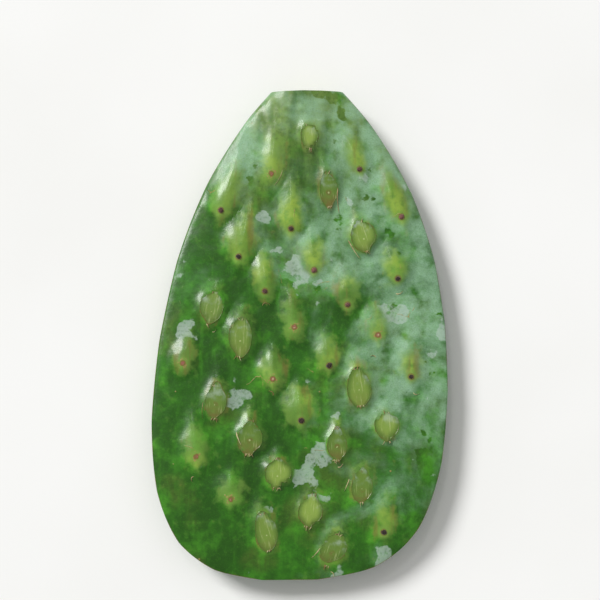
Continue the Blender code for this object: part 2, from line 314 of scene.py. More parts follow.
def half_thickness(disc_x, disc_y):
    """Half the pad's thickness, without its tubercles."""
    neck = smooth_step(NECK_START, CUT_STATION, disc_y)
    middle = (MIDDLE_THICKNESS + (NECK_THICKNESS - MIDDLE_THICKNESS) * neck) / 2.0
    rim = RIM_THICKNESS / 2.0 * (1.0 + 0.5 * neck)
    shoulder = (1.0 - margin_share(disc_x, disc_y) ** SHOULDER_POWER) ** SHOULDER_ROOT
    return rim + (middle - rim) * shoulder


def warp(x, y):
    """How far the pad's middle surface lifts from a flat sheet."""
    along = y / HALF_LENGTH - LOWEST_STATION
    across = (x - middle_line(y / HALF_LENGTH)) / HALF_WIDTH
    cup = np.where(along < 0.0, CUP_APEX, CUP_BASE) * along**2 + CUP_ACROSS * across**2
    ripple = RIPPLE * np.sin(3.1 * along + 2.4 * across) * (along**2 + across**2)
    return cup + TWIST * along * across + ripple


def swell(x, y, side):
    """The slow swells of the skin, under half a millimetre."""
    span_x, span_y, span_across = SWELL_SPAN
    broad = np.sin(x / span_x + 0.8 * side) * np.cos(y / span_y + 1.1 * side)
    return SWELL[0] * broad + SWELL[1] * np.sin((x + 0.7 * y) / span_across + side)


def smooth_skin(x, y, side):
    """Height of the skin without tubercles, at a place away from the margin."""
    return side * (half_thickness(*disc_of(x, y)) + swell(x, y, side)) + warp(x, y)


def skin_slope(x, y, side):
    """The smooth skin's rise along X and along Y."""
    step = 2.0
    rise_x = smooth_skin(x + step, y, side) - smooth_skin(x - step, y, side)
    rise_y = smooth_skin(x, y + step, side) - smooth_skin(x, y - step, side)
    return float(rise_x) / (2.0 * step), float(rise_y) / (2.0 * step)


def make_areole(side, x, y, heading, draw):
    """One areole with its own size, shape and state."""
    station = y / HALF_LENGTH
    size = 1.0 - SMALLER_AT_APEX * float(smooth_step(-0.6, -1.0, station))
    size *= 1.0 - SMALLER_AT_BASE * float(smooth_step(0.3, 0.8, station))
    state = "woolly" if draw.random() < WOOLLY_SHARE else "scraped"
    if draw.random() < float(np.interp(station, (-1.0, CUT_STATION), SHAVED_SHARE)):
        state = "shaved"
    longer, higher = 1.0, 1.0
    if state != "shaved":
        longer, higher = 1.0 + LONGER_ON_NECK * float(smooth_step(0.0, 0.6, station)), WHOLE_RISE
    areole = Areole(
        side=side,
        x=x + JITTER[0] * draw.uniform(-1.0, 1.0),
        y=y + JITTER[1] * draw.uniform(-1.0, 1.0),
        heading=heading + TURN_JITTER * draw.uniform(-1.0, 1.0),
        half_length=longer * size * draw.uniform(*TUBERCLE_HALF_LENGTH),
        half_width=size * draw.uniform(*TUBERCLE_HALF_WIDTH),
        height=higher * draw.uniform(*TUBERCLE_HEIGHT),
        tilt=FACET_TILT * draw.uniform(-1.0, 1.0),
        point=FACET_POINT * draw.random(),
        wobble=draw.uniform(0.0, 2.0 * math.pi),
        state=state,
    )
    if side == UNDERSIDE and math.hypot(x, y - LOWEST_STATION * HALF_LENGTH) < REST_RADIUS:
        areole.state, areole.height = "rested", REST_HEIGHT
    return areole


def clear_of_edges(areole):
    """Whether a tubercle stands clear of the trimmed margin and of the base cut."""
    gap = float(margin_gap(*disc_of(areole.x, areole.y)))
    return gap > CLEAR_OF_MARGIN and areole.y < CUT_STATION * HALF_LENGTH - CLEAR_OF_BASE


def lay_out_areoles():
    """Areoles at equal steps of skin area up the stem, each a golden turn round from the last."""
    draw, step = random.Random(SEED), 0.02
    stations = np.linspace(-1.0, CUT_STATION, STEM_SAMPLES)
    skin = np.cumsum(reach_across(stations))
    areoles = []
    for number in range(AREOLE_COUNT):
        station = float(np.interp((number + 0.5) / AREOLE_COUNT * skin[-1], skin, stations))
        turn = (FIRST_TURN + number * GOLDEN_TURN) % 1.0
        across = 1.0 - 4.0 * (turn % 0.5)
        reach = float(reach_across(station))
        spread = (float(reach_across(station + step)) - reach) / (step * HALF_LENGTH)
        heading = math.atan2(-1.0, -across * spread)
        side = TOP if turn < 0.5 else UNDERSIDE
        x = float(middle_line(station)) + across * reach
        areoles.append(make_areole(side, x, station * HALF_LENGTH, heading, draw))
    return [areole for areole in areoles if clear_of_edges(areole)]


def ahead_and_across(areole, x, y):
    """A place in millimetres ahead of an areole and across from it."""
    ahead_x, ahead_y = math.cos(areole.heading), math.sin(areole.heading)
    dx, dy = x - areole.x, y - areole.y
    return dx * ahead_x + dy * ahead_y, dy * ahead_x - dx * ahead_y


def oval_place(areole, x, y):
    """A place as its oval radius round an areole, 1 on the tubercle's shaved edge, and its angle there."""
    along, across = ahead_and_across(areole, x, y)
    along, across = along / areole.half_length, across / areole.half_width
    angle = np.arctan2(across, along)
    pointed = areole.point * np.sin(2.0 * angle) ** 2 * np.cos(angle) ** 2
    uneven = UNEVEN[0] * np.sin(2.0 * angle + areole.wobble) + UNEVEN[1] * np.sin(3.0 * angle - areole.wobble)
    return np.hypot(along, across) / (1.0 - pointed + uneven), angle


def tubercle(areole, x, y):
    """Height of one whole tubercle: short and steep past the areole, long and low behind it."""
    oval, angle = oval_place(areole, x, y)
    skirt = SKIRT[0] - SKIRT[1] * np.cos(angle)
    if areole.state in CUT_FLAT:
        crown = 1.0 + CROWN * (1.0 - oval)
        falling = np.clip(1.0 - (oval - 1.0) / skirt, 0.0, 1.0) ** 2
        return areole.height * np.where(oval < 1.0, crown, falling)
    reach = 1.0 + WHOLE_SPREAD * (skirt + WHOLE_TAIL * (1.0 - np.cos(angle)) ** 2)
    return areole.height * np.clip(1.0 - (oval / reach) ** 2, 0.0, 1.0) ** 2


def relief(areoles, x, y):
    """Height of the highest tubercle at each place, above the smooth skin."""
    return np.max([tubercle(areole, x, y) for areole in areoles], axis=0)


def set_knife(areole):
    """Gives a shaved areole the plane of its cut: square to the skin under it, with its own slight tilt."""
    rise_x, rise_y = skin_slope(areole.x, areole.y, areole.side)
    tilt = areole.side * areole.tilt
    areole.cut_rise = (rise_x + tilt * math.cos(areole.heading), rise_y + tilt * math.sin(areole.heading))
    cut = areole.height * KNIFE_LEVEL * float(relief_share(*disc_of(areole.x, areole.y)))
    areole.cut_level = float(smooth_skin(areole.x, areole.y, areole.side)) + areole.side * cut


def knife_plane(areole, x, y):
    """Height at a place of the plane that shaved an areole."""
    rise_x, rise_y = areole.cut_rise
    return areole.cut_level + rise_x * (x - areole.x) + rise_y * (y - areole.y)


def above_knife(areole, disc_x, disc_y):
    """How far a tubercle stood out past the plane that shaved it, at a point of the disc."""
    x, y = planform(disc_x, disc_y)
    raised = relief_share(disc_x, disc_y) * (swell(x, y, areole.side) + tubercle(areole, x, y))
    return half_thickness(disc_x, disc_y) + raised + areole.side * (warp(x, y) - knife_plane(areole, x, y))


def scar_edge(areole, disc_x, disc_y):
    """Distance to a scar's edge, negative inside it, and the direction on the pad that leads inside."""
    across, along = SLOPE_STEP / (HALF_WIDTH * taper(disc_y)), SLOPE_STEP / HALF_LENGTH
    rise_x = above_knife(areole, disc_x + across, disc_y) - above_knife(areole, disc_x - across, disc_y)
    rise_y = above_knife(areole, disc_x, disc_y + along) - above_knife(areole, disc_x, disc_y - along)
    slope = np.maximum(np.hypot(rise_x, rise_y), 1e-3)
    distance = -above_knife(areole, disc_x, disc_y) * 2.0 * SLOPE_STEP / slope
    oval, _ = oval_place(areole, *planform(disc_x, disc_y))
    return np.where(oval < KNIFE_REACH, np.clip(distance, -FAR, FAR), FAR), rise_x / slope, rise_y / slope


def cube_to_disc(cube):
    """Spreads a cube's faces over a disc: its top and bottom become the middle, its sides the shoulders."""
    flat_x, flat_y, level = cube.T
    down = np.clip((1.0 - np.abs(level)) / (1.0 - 1.0 / DIVISIONS[2]), 0.0, 1.0)
    radius = FACE_RADIUS + (1.0 - FACE_RADIUS) * down * (1.3 - 0.3 * down)
    round_x = flat_x * np.sqrt(1.0 - flat_y**2 / 2.0)
    round_y = flat_y * np.sqrt(1.0 - flat_x**2 / 2.0)
    band = np.clip(level * DIVISIONS[2], -1.0, 1.0)
    return round_x * radius, round_y * radius, np.where(level < 0.0, UNDERSIDE, TOP), band


class PadForm:
    """Every point of the pad's mesh: its place in millimetres, and what the skin's material reads there."""

    def __init__(self, cube, areoles):
        self.areoles = areoles
        self.shaved = [areole for areole in areoles if areole.state in CUT_FLAT]
        self.disc_x, self.disc_y, self.side, self.band = cube_to_disc(cube)
        self.snapped = set()
        self.floor = -FAR
        self.grain = self.skin_grain()
        for areole in self.shaved:
            set_knife(areole)
            if areole.state == "shaved":
                self.snap(areole)
        self.place()
        kept = (self.side == TOP) & (self.y < CUT_STATION * HALF_LENGTH)
        self.floor = self.z[kept].max() - (CAD_BOX[1].z - CAD_BOX[0].z) / MM
        for areole in self.shaved:
            if areole.state == "rested":
                areole.cut_level, areole.cut_rise = self.floor, (0.0, 0.0)
                self.snap(areole)
        self.place()
        self.scar, self.areole = self.marks()

    def skin_grain(self):
        """Fine unevenness of the skin: shallow dimples, and low furrows that run up the neck."""
        x, y = planform(self.disc_x, self.disc_y)
        spots = [Vector(spot) for spot in zip(x, y, SIDE_SHIFT * self.side)]
        dimples = np.array([noise.fractal(spot / DIMPLE_SIZE, 1.0, 2.0, 3) for spot in spots])
        bend = np.array([noise.noise(spot / FURROW_BEND_SPAN) for spot in spots])
        furrows = np.sin(2.0 * math.pi * x / FURROW_SPACING + FURROW_BEND * bend)
        neck = smooth_step(FURROW_START, CUT_STATION, self.disc_y)
        return DIMPLE_DEPTH * dimples + FURROW_DEPTH * neck * furrows

    def near(self, areole):
        """The points on an areole's side of the pad that are close to it."""
        x, y = planform(self.disc_x, self.disc_y)
        close = np.hypot(x - areole.x, y - areole.y) < 2.0 * areole.half_length + FAR
        return np.flatnonzero(close & (self.side == areole.side) & (np.abs(self.band) == 1.0))

    def snap(self, areole):
        """Slides the points nearest a scar's edge onto it, so that the edge is crisp."""
        near = self.near(areole)
        distance, inward_x, inward_y = scar_edge(areole, self.disc_x[near], self.disc_y[near])
        close = np.abs(distance) < SNAP
        moved = near[close]
        shift = distance[close]
        self.disc_x[moved] += shift * inward_x[close] / (HALF_WIDTH * taper(self.disc_y[moved]))
        self.disc_y[moved] += shift * inward_y[close] / HALF_LENGTH
        self.snapped.update(moved.tolist())

    def place(self):
        """Works out every point's place from its point of the disc."""
        self.x, self.y = planform(self.disc_x, self.disc_y)
        self.mound = np.zeros_like(self.x)
        raised = self.grain.copy()
        for side in (TOP, UNDERSIDE):
            here = self.side == side
            own = [areole for areole in self.areoles if areole.side == side]
            self.mound[here] = relief(own, self.x[here], self.y[here])
            raised[here] += self.mound[here] + swell(self.x[here], self.y[here], side)
        height = half_thickness(self.disc_x, self.disc_y) + relief_share(self.disc_x, self.disc_y) * raised
        self.z = self.band * height + warp(self.x, self.y)
        for areole in self.shaved:
            self.shave(areole)
        self.z = np.maximum(self.z, self.floor)

    def shave(self, areole):
        """Cuts the crown off a tubercle."""
        near = self.near(areole)
        oval, _ = oval_place(areole, self.x[near], self.y[near])
        near = near[oval < KNIFE_REACH]
        limit = np.minimum if areole.side == TOP else np.maximum
        self.z[near] = limit(self.z[near], knife_plane(areole, self.x[near], self.y[near]))

    def rim(self):
        """Distance in from the trimmed margin, negative on the cut band itself."""
        inside = margin_gap(self.disc_x, self.disc_y)
        return np.where(np.abs(self.band) < 1.0, (np.abs(self.band) - 1.0) * RIM_THICKNESS / 2.0, inside)

    def marks(self):
        """The nearest scar's edge with the place on it, and the nearest areole with its tone and state."""
        scar = np.full((len(self.x), 3), FAR)
        spot = np.full((len(self.x), 3), FAR)
        for number, areole in enumerate(self.areoles):
            near = self.near(areole)
            along, across = ahead_and_across(areole, self.x[near], self.y[near])
            distance = np.hypot(along - MARK_AHEAD[areole.state] * areole.half_length, across)
            tone = np.full_like(distance, number * TONE_STEP % 1.0)
            state = np.full_like(distance, STATE[areole.state])
            closest = distance < spot[near, 0]
            spot[near[closest]] = np.column_stack([distance, tone, state])[closest]
            if areole in self.shaved:
                edge, _, _ = scar_edge(areole, self.disc_x[near], self.disc_y[near])
                closest = edge < scar[near, 0]
                scar[near[closest]] = np.column_stack([edge, along, across])[closest]
        return scar, spot


def divided_cube():
    """A cube two units across, whose edges along each axis are cut into DIVISIONS, with a banded waist."""
    mesh = bmesh.new()
    bmesh.ops.create_cube(mesh, size=2.0)
    for axis, parts in enumerate(DIVISIONS):
        edges = [e for e in mesh.edges if abs(e.verts[0].co[axis] - e.verts[1].co[axis]) > 0.5]
        bmesh.ops.subdivide_edges(mesh, edges=edges, cuts=parts - 1, use_grid_fill=True)
    waist = [e for e in mesh.edges if e.verts[0].co.z * e.verts[1].co.z < 0.0]
    bmesh.ops.subdivide_edges(mesh, edges=waist, cuts=BAND_ROWS - 1, use_grid_fill=True)
    return mesh


def cut_base(mesh):
    """Slices the neck off square and dishes the cut a little, as the flesh dries."""
    forms = mesh.verts.layers.float_vector["form"]
    everything = list(mesh.verts) + list(mesh.edges) + list(mesh.faces)
    point = (0.0, CUT_STATION * HALF_LENGTH * MM, 0.0)
    bmesh.ops.bisect_plane(
        mesh, geom=everything, dist=1e-7, plane_co=point, plane_no=(0.0, 1.0, CUT_LEAN), clear_outer=True
    )
    rim = [edge for edge in mesh.edges if edge.is_boundary]
    cut = bmesh.ops.edgeloop_fill(mesh, edges=rim)["faces"]
    depth = 0.0
    for width, sink in BASE_STEPS:
        middle = cut[0].calc_center_median()
        reach = [max(abs(vertex.co[axis] - middle[axis]) for vertex in cut[0].verts) for axis in range(3)]
        bmesh.ops.inset_individual(mesh, faces=cut, thickness=0.0, depth=0.0)
        narrower = (1.0 - width * MM / reach[0], 1.0, 1.0 - width * MM / reach[2])
        ring = list(cut[0].verts)
        bmesh.ops.scale(mesh, vec=narrower, space=Matrix.Translation(-middle), verts=ring)
        bmesh.ops.translate(mesh, vec=(0.0, sink * MM, 0.0), verts=ring)
        depth += width
        for vertex in ring:
            vertex[forms].z = -depth


def build_skin():
    """The pad's whole skin as one closed mesh, with the layers that its material reads."""
    mesh = divided_cube()
    mesh.verts.ensure_lookup_table()
    form = PadForm(np.array([vertex.co for vertex in mesh.verts]), lay_out_areoles())
    base = CUT_STATION * HALF_LENGTH - form.y
    values = (form.scar, form.areole, np.column_stack([form.mound, form.rim(), base]))
    layers = [mesh.verts.layers.float_vector.new(name) for name in SKIN_LAYERS]
    for number, vertex in enumerate(mesh.verts):
        vertex.co = Vector((form.x[number], form.y[number], form.z[number])) * MM
        for layer, value in zip(layers, values):
            vertex[layer] = value[number]
    on_edges = [mesh.verts[number] for number in form.snapped]
    bmesh.ops.connect_verts(mesh, verts=on_edges)
    cut_base(mesh)
    bmesh.ops.recalc_face_normals(mesh, faces=mesh.faces)
    low, high = (Vector([end(v.co[axis] for v in mesh.verts) for axis in range(3)]) for end in (min, max))
    fit = Vector([cad / own for cad, own in zip(CAD_BOX[1] - CAD_BOX[0], high - low)])
    seat = Matrix.Translation((CAD_BOX[0] + CAD_BOX[1]) / 2.0) @ Matrix.Diagonal(fit).to_4x4()
    seat @= Matrix.Translation(-(low + high) / 2.0)
    bmesh.ops.transform(mesh, matrix=seat, verts=mesh.verts)
    return mesh, seat


class Ground:
    """The modelled skin, for seating the other pieces on it."""

    def __init__(self):
        skin = bpy.data.objects.get(SKIN)
        if skin is None:
            raise RuntimeError("model the pad's skin first")
        self.seat = Matrix([skin["seat"][4 * row : 4 * row + 4] for row in range(4)])
        mesh = bmesh.new()
        mesh.from_mesh(skin.data)
        self.tree = BVHTree.FromBMesh(mesh)
        mesh.free()

    def spot(self, x, y, side):
        """The skin's place and outward direction at a point in millimetres, or at the margin next to it."""
        over = self.seat @ (Vector((x, y, side * SEARCH_HEIGHT)) * MM)
        place, outward, _, _ = self.tree.ray_cast(over, Vector((0.0, 0.0, -side)))
        if place is None:
            place, outward, _, _ = self.tree.find_nearest(self.seat @ (Vector((x, y, 0.0)) * MM))
        return place, outward


def keep_off_floor(mesh):
    """Flattens against the floor whatever would reach below it."""
    for vertex in mesh.verts:
        vertex.co.z = max(vertex.co.z, 0.0)


def along_areole(areole, ahead, across=0.0):
    """The place a number of millimetres ahead of an areole and across from it."""
    ahead_x, ahead_y = math.cos(areole.heading), math.sin(areole.heading)
    return areole.x + ahead * ahead_x - across * ahead_y, areole.y + ahead * ahead_y + across * ahead_x


def add_felt(mesh, tones, place, turn, settings, draw):
    """One cushion of matted wool, lumpy and a little flattened."""
    width = settings.felt_width * MM * draw.uniform(*FELT_WIDTHS)
    shape = Matrix.Diagonal((width / 2.0, width / 2.4, width / 4.0, 1.0))
    felt = bmesh.ops.create_icosphere(mesh, subdivisions=3, radius=1.0)["verts"]
    shift = Vector((draw.uniform(0.0, 50.0), 0.0, 0.0))
    tone = draw.random()
    for vertex in felt:
        vertex.co *= 1.0 + FELT_LUMPS * noise.fractal(2.1 * vertex.co + shift, 1.0, 2.0, 3)
        vertex[tones] = tone
    bmesh.ops.transform(mesh, matrix=Matrix.Translation(place) @ turn @ shape, verts=felt)


def add_bristles(mesh, tones, place, turn, settings, draw):
    """The short stiff bristles that stand in the felt."""
    for _ in range(settings.bristle_count):
        length = settings.bristle_length * MM * draw.uniform(*BRISTLE_LENGTHS)
        lean, round_turn = draw.uniform(*BRISTLE_LEAN), draw.uniform(0.0, 2.0 * math.pi)
        root = Vector((math.cos(round_turn), math.sin(round_turn), 0.0)) * draw.uniform(*BRISTLE_ROOTS)
        aim = Matrix.Rotation(round_turn, 4, "Z") @ Matrix.Rotation(lean, 4, "Y")
        aim = Matrix.Translation(root * settings.felt_width * MM) @ aim
        aim = aim @ Matrix.Translation((0.0, 0.0, length / 2.0))
        root_radius, tip_radius = BRISTLE_RADII[0] * MM, BRISTLE_RADII[1] * MM
        bristle = bmesh.ops.create_cone(
            mesh, segments=4, radius1=root_radius, radius2=tip_radius, depth=length, cap_ends=True
        )["verts"]
        for vertex in bristle:
            vertex[tones] = -1.0
        bmesh.ops.transform(mesh, matrix=Matrix.Translation(place) @ turn @ aim, verts=bristle)


def build_tufts(settings):
    """Felt and bristles on each areole that the peeling left whole."""
    ground, draw = Ground(), random.Random(settings.seed)
    mesh = bmesh.new()
    tones = mesh.verts.layers.float.new("tone")
    for areole in lay_out_areoles():
        if areole.state != "woolly":
            continue
        x, y = along_areole(areole, CUSHION_AHEAD * areole.half_length)
        place, outward = ground.spot(x, y, areole.side)
        turn = outward.to_track_quat("Z", "Y").to_matrix().to_4x4()
        add_felt(mesh, tones, place, turn, settings, draw)
        add_bristles(mesh, tones, place, turn, settings, draw)
    keep_off_floor(mesh)
    return mesh


@dataclass
class Ribbon:
    """A strip of peel, in millimetres: where it starts, where it heads, and how it lifts, turns and curls."""

    x: float
    y: float
    side: int
    heading: float
    length: float
    width: float
    lift: float
    bend: float
    twist: float
    pointed: float
    tone: float


def add_ribbon(mesh, tones, ground, ribbon):
    """Lays one strip of peel on the skin, from its rooted end to its free one."""
    strip = bmesh.ops.create_grid(mesh, x_segments=2, y_segments=RIBBON_STEPS, size=0.5)["verts"]
    for vertex in strip:
        run, across = vertex.co.y + 0.5, vertex.co.x
        heading = ribbon.heading + ribbon.bend * run / 2.0
        x = ribbon.x + ribbon.length * run * math.cos(heading)
        y = ribbon.y + ribbon.length * run * math.sin(heading)
        place, outward = ground.spot(x, y, ribbon.side)
        aside = Vector((-math.sin(heading + ribbon.bend * run / 2.0), math.cos(heading), 0.0))
        aside = (aside - outward * aside.dot(outward)).normalized()
        turn = ribbon.twist * run
        aside = aside * math.cos(turn) + outward * math.sin(turn)
        ragged = 0.70 + 0.30 * math.sin(17.0 * run + 9.0 * ribbon.tone) * math.sin(7.0 * run + 4.0 * across)
        width = ribbon.width * ragged * (1.0 - ribbon.pointed * run**1.4) * min(1.0, 0.45 + 3.0 * run)
        rise = RIBBON_CLEARANCE + ribbon.lift * ribbon.length * run**1.8 + abs(math.sin(turn)) * width / 2.0
        vertex.co = place + (outward * rise + aside * across * width) * MM
        vertex[tones] = ribbon.tone
    faces = list(dict.fromkeys(face for vertex in strip for face in vertex.link_faces))
    bmesh.ops.solidify(mesh, geom=faces, thickness=RIBBON_THICKNESS * MM)


def torn_fringe(areole, draw):
    """Short torn points of skin at both tips of a scar, where the knife came in and out."""
    ribbons = []
    tip = (0.96 - 0.12 * areole.point) * areole.half_length
    ends = ((tip, 0.0, draw.randint(3, 5)), (-tip, math.pi, draw.randint(1, 3)))
    for ahead, turn, count in ends:
        for _ in range(count):
            x, y = along_areole(areole, ahead, draw.uniform(-0.3, 0.3) * areole.half_width)
            ribbons.append(
                Ribbon(
                    x, y, areole.side, areole.heading + turn + draw.uniform(-0.8, 0.8),
                    length=draw.uniform(0.9, 2.4), width=draw.uniform(0.45, 0.8),
                    lift=draw.uniform(0.15, 0.6), bend=draw.uniform(-1.0, 1.0),
                    twist=draw.uniform(-0.8, 0.8), pointed=0.92, tone=draw.random(),
                )
            )
    return ribbons


def loose_peel(areole, draw):
    """A longer strip of dried peel that still hangs on beside a scar."""
    aside = draw.choice((-1.0, 1.0))
    ahead = draw.uniform(-0.6, 0.2) * areole.half_length
    x, y = along_areole(areole, ahead, aside * areole.half_width * draw.uniform(1.1, 1.35))
    length = draw.uniform(*PEEL_LENGTH)
    return Ribbon(
        x, y, areole.side, areole.heading + draw.uniform(-0.35, 0.35), length,
        width=draw.uniform(0.5, 1.2), lift=draw.uniform(0.01, 0.04), bend=draw.uniform(-0.7, 0.7),
        twist=draw.uniform(-0.9, 0.9), pointed=0.85, tone=draw.uniform(0.2, 0.9),
    )


def curled_scrap(areole, draw):
    """A little curled scrap, stuck down by one end below an areole."""
    x, y = along_areole(areole, draw.uniform(1.1, 1.5) * areole.half_length, draw.uniform(-3.0, 3.0))
    return Ribbon(
        x, y, areole.side, draw.uniform(0.0, 2.0 * math.pi), length=draw.uniform(2.2, 4.2),
        width=draw.uniform(0.5, 0.9), lift=draw.uniform(0.1, 0.3),
        bend=draw.uniform(2.0, 3.4) * draw.choice((-1.0, 1.0)),
        twist=draw.uniform(0.6, 1.6), pointed=0.6, tone=draw.uniform(0.2, 1.0),
    )


def build_shreds(settings):
    """What the knife left standing: torn fringes at the scars' tips, strips of peel and curled scraps."""
    ground, draw = Ground(), random.Random(settings.seed)
    ribbons = []
    for areole in lay_out_areoles():
        if areole.state == "shaved":
            ribbons += torn_fringe(areole, draw)
        if areole.state in ("shaved", "scraped") and draw.random() < settings.peel_share:
            ribbons.append(loose_peel(areole, draw))
        if areole.state != "rested" and draw.random() < settings.scrap_share:
            ribbons.append(curled_scrap(areole, draw))
    mesh = bmesh.new()
    tones = mesh.verts.layers.float.new("tone")
    for ribbon in ribbons:
        add_ribbon(mesh, tones, ground, ribbon)
    keep_off_floor(mesh)
    bmesh.ops.recalc_face_normals(mesh, faces=mesh.faces)
    return mesh


def linear(hex_colour):
    """An sRGB hex colour as the linear colour that shaders take."""
    parts = [int(hex_colour[start : start + 2], 16) / 255.0 for start in (1, 3, 5)]
    return (*(part / 12.92 if part <= 0.04045 else ((part + 0.055) / 1.055) ** 2.4 for part in parts), 1.0)


def add_node(tree, kind, inputs=(), output=None, **settings):
    """Adds a shader node with its settings, fills its inputs by name or in order, and returns its output."""
    node = tree.nodes.new("ShaderNode" + kind)
    for name, value in settings.items():
        setattr(node, name, value)
    sockets = [socket for socket in node.inputs if socket.enabled]
    for place, value in inputs.items() if isinstance(inputs, dict) else enumerate(inputs):
        socket = sockets[place] if isinstance(place, int) else next(s for s in sockets if s.name == place)
        if isinstance(value, bpy.types.NodeSocket):
            tree.links.new(value, socket)
        else:
            socket.default_value = value
    return next((s for s in node.outputs if s.enabled and output in (None, s.name)), None)


def between(tree, value, low, high):
    """A mask: 0 below low and 1 above high, with an even rise. It turns round where high is the lower."""
    flipped = low > high
    inputs = (value, min(low, high), max(low, high), float(flipped), float(not flipped))
    return add_node(tree, "MapRange", inputs, interpolation_type="SMOOTHSTEP")


def patches(tree, place, size, low, high, detail=3.0, distortion=0.0):
    """A mask of irregular patches about this many millimetres across."""
    inputs = {"Vector": place, "Scale": 1.0 / size, "Detail": detail, "Distortion": distortion}
    return between(tree, add_node(tree, "TexNoise", inputs), low, high)


def folded(tree, operation, values):
    """Several values worked into one, in order."""
    total = values[0]
    for value in values[1:]:
        total = add_node(tree, "Math", (total, value), operation=operation)
    return total


def all_of(tree, *masks):
    """A mask where all of these masks are. A plain number weakens it to that share."""
    return folded(tree, "MULTIPLY", masks)


def any_of(tree, *masks):
    """A mask where any of these masks is."""
    return folded(tree, "MAXIMUM", masks)


def paint(tree, under, *layers):
    """Lays colours over one another in order, each where all of its masks are."""
    for over, *masks in layers:
        under = add_node(tree, "Mix", (all_of(tree, *masks), under, over), data_type="RGBA")
    return under


def new_material(name, **finish):
    """A material with its uniform finish set on the shader, its shader and its place in millimetres."""
    material = bpy.data.materials.new(name)
    material.use_nodes = True
    tree = material.node_tree
    shader = tree.nodes["Principled BSDF"]
    for socket, value in finish.items():
        shader.inputs[socket.replace("_", " ")].default_value = value
    at_origin = add_node(tree, "TexCoord", output="Object")
    place = add_node(tree, "VectorMath", {"Vector": at_origin, "Scale": 1.0 / MM}, operation="SCALE")
    return material, tree, shader, place


def finish_shader(tree, shader, colour, roughness, height):
    """Joins the colour, the roughness and a height in millimetres to a shader."""
    tree.links.new(colour, shader.inputs["Base Color"])
    tree.links.new(roughness, shader.inputs["Roughness"])
    bump = add_node(tree, "Bump", {"Strength": 1.0, "Distance": MM, "Height": height})
    tree.links.new(bump, shader.inputs["Normal"])


def finish_grainy(tree, shader, place, colour, size, detail, roughness, depth):
    """Joins a colour to a shader, with one fine grain in its roughness and height."""
    grain = add_node(tree, "TexNoise", {"Vector": place, "Scale": 1.0 / size, "Detail": detail})
    rough = add_node(tree, "MapRange", (grain, 0.3, 0.7, *roughness))
    finish_shader(tree, shader, colour, rough, all_of(tree, grain, depth))


def skin_marks(tree):
    """The layers of the skin's mesh, as separate values."""
    marks = {}
    for layer, names in SKIN_LAYERS.items():
        vector = add_node(tree, "Attribute", output="Vector", attribute_name=layer)
        for axis, name in zip("XYZ", names):
            marks[name] = add_node(tree, "SeparateXYZ", (vector,), output=axis)
    return marks


def line_at(tree, distance, half_width):
    """A mask along the line where a distance is 0."""
    away = add_node(tree, "Math", (distance,), operation="ABSOLUTE")
    return between(tree, away, half_width, 0.3 * half_width)


def dots(tree, place, size, low, high, randomness=1.0):
    """A mask of scattered dots about this many millimetres apart."""
    cells = {"Vector": place, "Scale": 1.0 / size, "Randomness": randomness}
    return between(tree, add_node(tree, "TexVoronoi", cells, output="Distance"), low, high)


def paint_greens(tree, place, streaked, marks, colours):
    """The living skin: leaf greens in slow clouds and faint lengthwise streaks, paler on the neck."""
    grain = {"Vector": place, "Scale": 1.0 / 1.8, "Detail": 6.0, "Roughness": 0.65}
    grain = add_node(tree, "TexNoise", grain)
    neck = between(tree, marks["base"], 95.0, 0.0)
    # The pores, dots 0.9 mm apart, are drawn coarser than real ones, so that they show.
    return paint(
        tree, colours.deep_green,
        (colours.leaf_green, patches(tree, place, 34.0, 0.32, 0.62, 4.0)),
        (colours.olive_green, patches(tree, place, 27.0, 0.50, 0.66, 4.0), 0.7),
        (colours.young_green, patches(tree, place, 15.0, 0.47, 0.70, 5.0), 0.85),
        (colours.deep_green, patches(tree, place, 7.0, 0.50, 0.66, 5.0), 0.5),
        (colours.deep_green, patches(tree, streaked, 6.0, 0.46, 0.80, 4.0), 0.55),
        (colours.young_green, patches(tree, streaked, 4.0, 0.50, 0.85, 5.0), 0.55),
        (colours.neck_green, patches(tree, streaked, 8.0, 0.28, 0.66, 4.0), neck, 0.8),
        (colours.young_green, dots(tree, place, 0.9, 0.24, 0.10), 0.35),
        (colours.deep_green, between(tree, grain, 0.50, 0.66), 0.35),
        (colours.young_green, between(tree, grain, 0.48, 0.34), 0.20),
    )


def paint_tubercles(tree, skin, place, streaked, marks, colours):
    """The swollen tubercles: yellow-green along their crests, limier on some and bruised brown on others,
    with painted shade darkening the low skin round and between them.
    """
    ragged = add_node(tree, "TexNoise", {"Vector": place, "Scale": 1.0 / 4.5, "Detail": 5.0})
    ragged = add_node(tree, "MapRange", (ragged, 0.3, 0.7, -0.7, 0.7))
    height = add_node(tree, "Math", (marks["mound"], ragged), operation="ADD")
    whole = add_node(tree, "MapRange", (marks["state"], 0.1, 0.5, 0.45, 1.0))
    crest = all_of(tree, between(tree, height, 0.2, 1.7), patches(tree, streaked, 9.0, 0.10, 0.60, 4.0))
    ripe = all_of(tree, between(tree, height, 0.8, 2.6), patches(tree, place, 45.0, 0.44, 0.60, 2.0))
    bruised = all_of(tree, between(tree, height, 0.3, 1.2), patches(tree, streaked, 5.0, 0.53, 0.72, 5.0))
    return paint(
        tree, skin,
        # Painted shade: the low skin round and between the tubercles is darkened towards deep green, broken
        # up by noise, as if shaded.
        (colours.deep_green, between(tree, height, 0.9, -0.4), 0.35),
        (colours.tubercle_green, crest, whole, 0.55),
        (colours.ripe_green, ripe, whole, patches(tree, place, 3.2, 0.22, 0.58, 4.0), 0.85),
        (colours.bruise, bruised, 0.6),
    )


